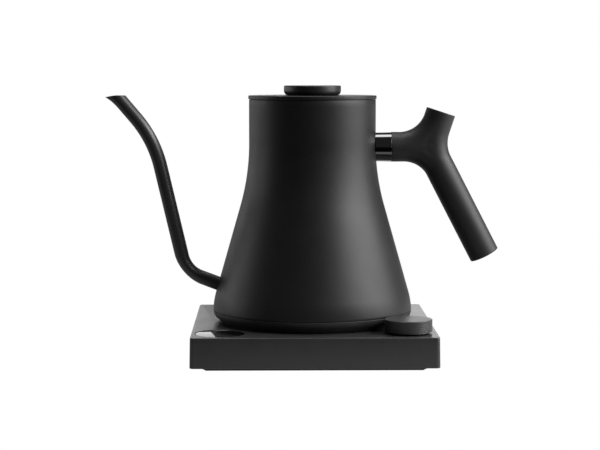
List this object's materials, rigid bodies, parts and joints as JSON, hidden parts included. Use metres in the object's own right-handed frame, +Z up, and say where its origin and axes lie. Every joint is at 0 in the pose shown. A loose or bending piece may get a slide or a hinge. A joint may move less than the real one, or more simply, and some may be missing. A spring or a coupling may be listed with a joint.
{
  "type": "electric kettle",
  "caption": "Gooseneck electric kettle with a flared round body, lift-off lid and fork-shaped handle on a square cordless power base with a display window and a control dial.",
  "frame": {"origin": "centre of the foot mat's underside, on the kettle's axis", "axes": "+Z up, -Y towards the front with the display and the dial, -X along the spout, +X along the handle"},
  "size_m": [0.2827, 0.1706, 0.1937],
  "materials": {
    "kettle_coat": "matte powder coat, fine orange-peel grain",
    "spout_coat": "satin powder coat",
    "base_coat": "satin coat",
    "dial_coat": "satin coat over a turned side",
    "knob_coat": "satin moulded plastic",
    "base_plastic": "fine moulded grain",
    "skirt_plastic": "satin moulded plastic",
    "grip_plastic": "matte moulded plastic, fine grain",
    "cap_plastic": "matte moulded plastic",
    "neck_gloss": "high gloss black",
    "display_gloss": "polished black window",
    "lcd_glass": "smooth",
    "slider_plastic": "fine ribs",
    "connector_plastic": "smooth",
    "part_plastic": "smooth",
    "cutout_plastic": "smooth",
    "terminal_plastic": "smooth",
    "circuit_board": "solder mask",
    "winding_tape": "tape",
    "foot_rubber": "matte",
    "silicone_red": "satin",
    "silicone_grey": "satin",
    "screw_steel": "zinc plated",
    "inner_steel": "brushed",
    "cast_aluminium": "cast",
    "contact_brass": "polished"
  },
  "bodies": {
    "base": {"foot_mat": "foot_rubber", "base_cover": "base_plastic", "cover_screws": "screw_steel", "base_housing": "base_coat", "display_lens": "display_gloss", "lcd_module": "lcd_glass", "display_board": "circuit_board", "display_screws": "screw_steel", "main_board": "circuit_board", "board_screws": "screw_steel", "relay": "part_plastic", "transformer": "winding_tape", "terminal_block": "terminal_plastic", "buzzer": "part_plastic", "encoder_board": "circuit_board", "encoder_body": "part_plastic", "base_connector": "connector_plastic", "base_contacts": "contact_brass", "connector_screws": "screw_steel", "hold_switch_body": "part_plastic", "cord_gland": "foot_rubber"},
    "hold_slider": {"hold_slider": "slider_plastic"},
    "dial_plunger": {"encoder_plunger": "screw_steel"},
    "dial": {"dial": "dial_coat", "dial_shaft": "screw_steel"},
    "coupling": {"kettle_connector": "connector_plastic", "kettle_contacts": "contact_brass"},
    "kettle": {"vessel_body": "kettle_coat", "spout": "spout_coat", "vessel_floor": "inner_steel", "heat_spreader": "cast_aluminium", "heating_element": "inner_steel", "thermal_cutout": "cutout_plastic", "temperature_probe": "inner_steel", "probe_seal": "silicone_red", "skirt": "skirt_plastic", "skirt_screws": "screw_steel", "handle_neck": "neck_gloss", "handle_core": "inner_steel", "handle_grip": "grip_plastic", "handle_cap": "cap_plastic", "handle_screw": "screw_steel"},
    "lid_gasket": {"lid_seal": "silicone_grey"},
    "lid": {"lid_plate": "kettle_coat", "lid_liner": "part_plastic", "lid_screw": "screw_steel", "lid_knob": "knob_coat"}
  },
  "joints": [
    {"name": "dial_press", "type": "slide", "parent": "base", "child": "dial_plunger", "axis": [0, 0, 1], "range_m": [-0.0004, 0], "stiffness_N_per_m": 2500, "springref_m": 0.0008},
    {"name": "dial_turn", "type": "hinge", "parent": "dial_plunger", "child": "dial", "pos_m": [0.065, -0.063, 0.03], "axis": [0, 0, 1], "continuous": true},
    {"name": "hold_slide", "type": "slide", "parent": "base", "child": "hold_slider", "axis": [1, 0, 0], "range_m": [0, 0.005]},
    {"name": "kettle_lift", "type": "slide", "parent": "base", "child": "coupling", "axis": [0, 0, 1], "range_m": [0, 0.06]},
    {"name": "kettle_turn", "type": "hinge", "parent": "coupling", "child": "kettle", "pos_m": [0, 0, 0.03], "axis": [0, 0, 1], "continuous": true},
    {"name": "lid_lift", "type": "slide", "parent": "kettle", "child": "lid_gasket", "axis": [0, 0, 1], "range_m": [0, 0.05]},
    {"name": "lid_turn", "type": "hinge", "parent": "lid_gasket", "child": "lid", "pos_m": [0, 0, 0.185], "axis": [0, 0, 1], "continuous": true}
  ]
}
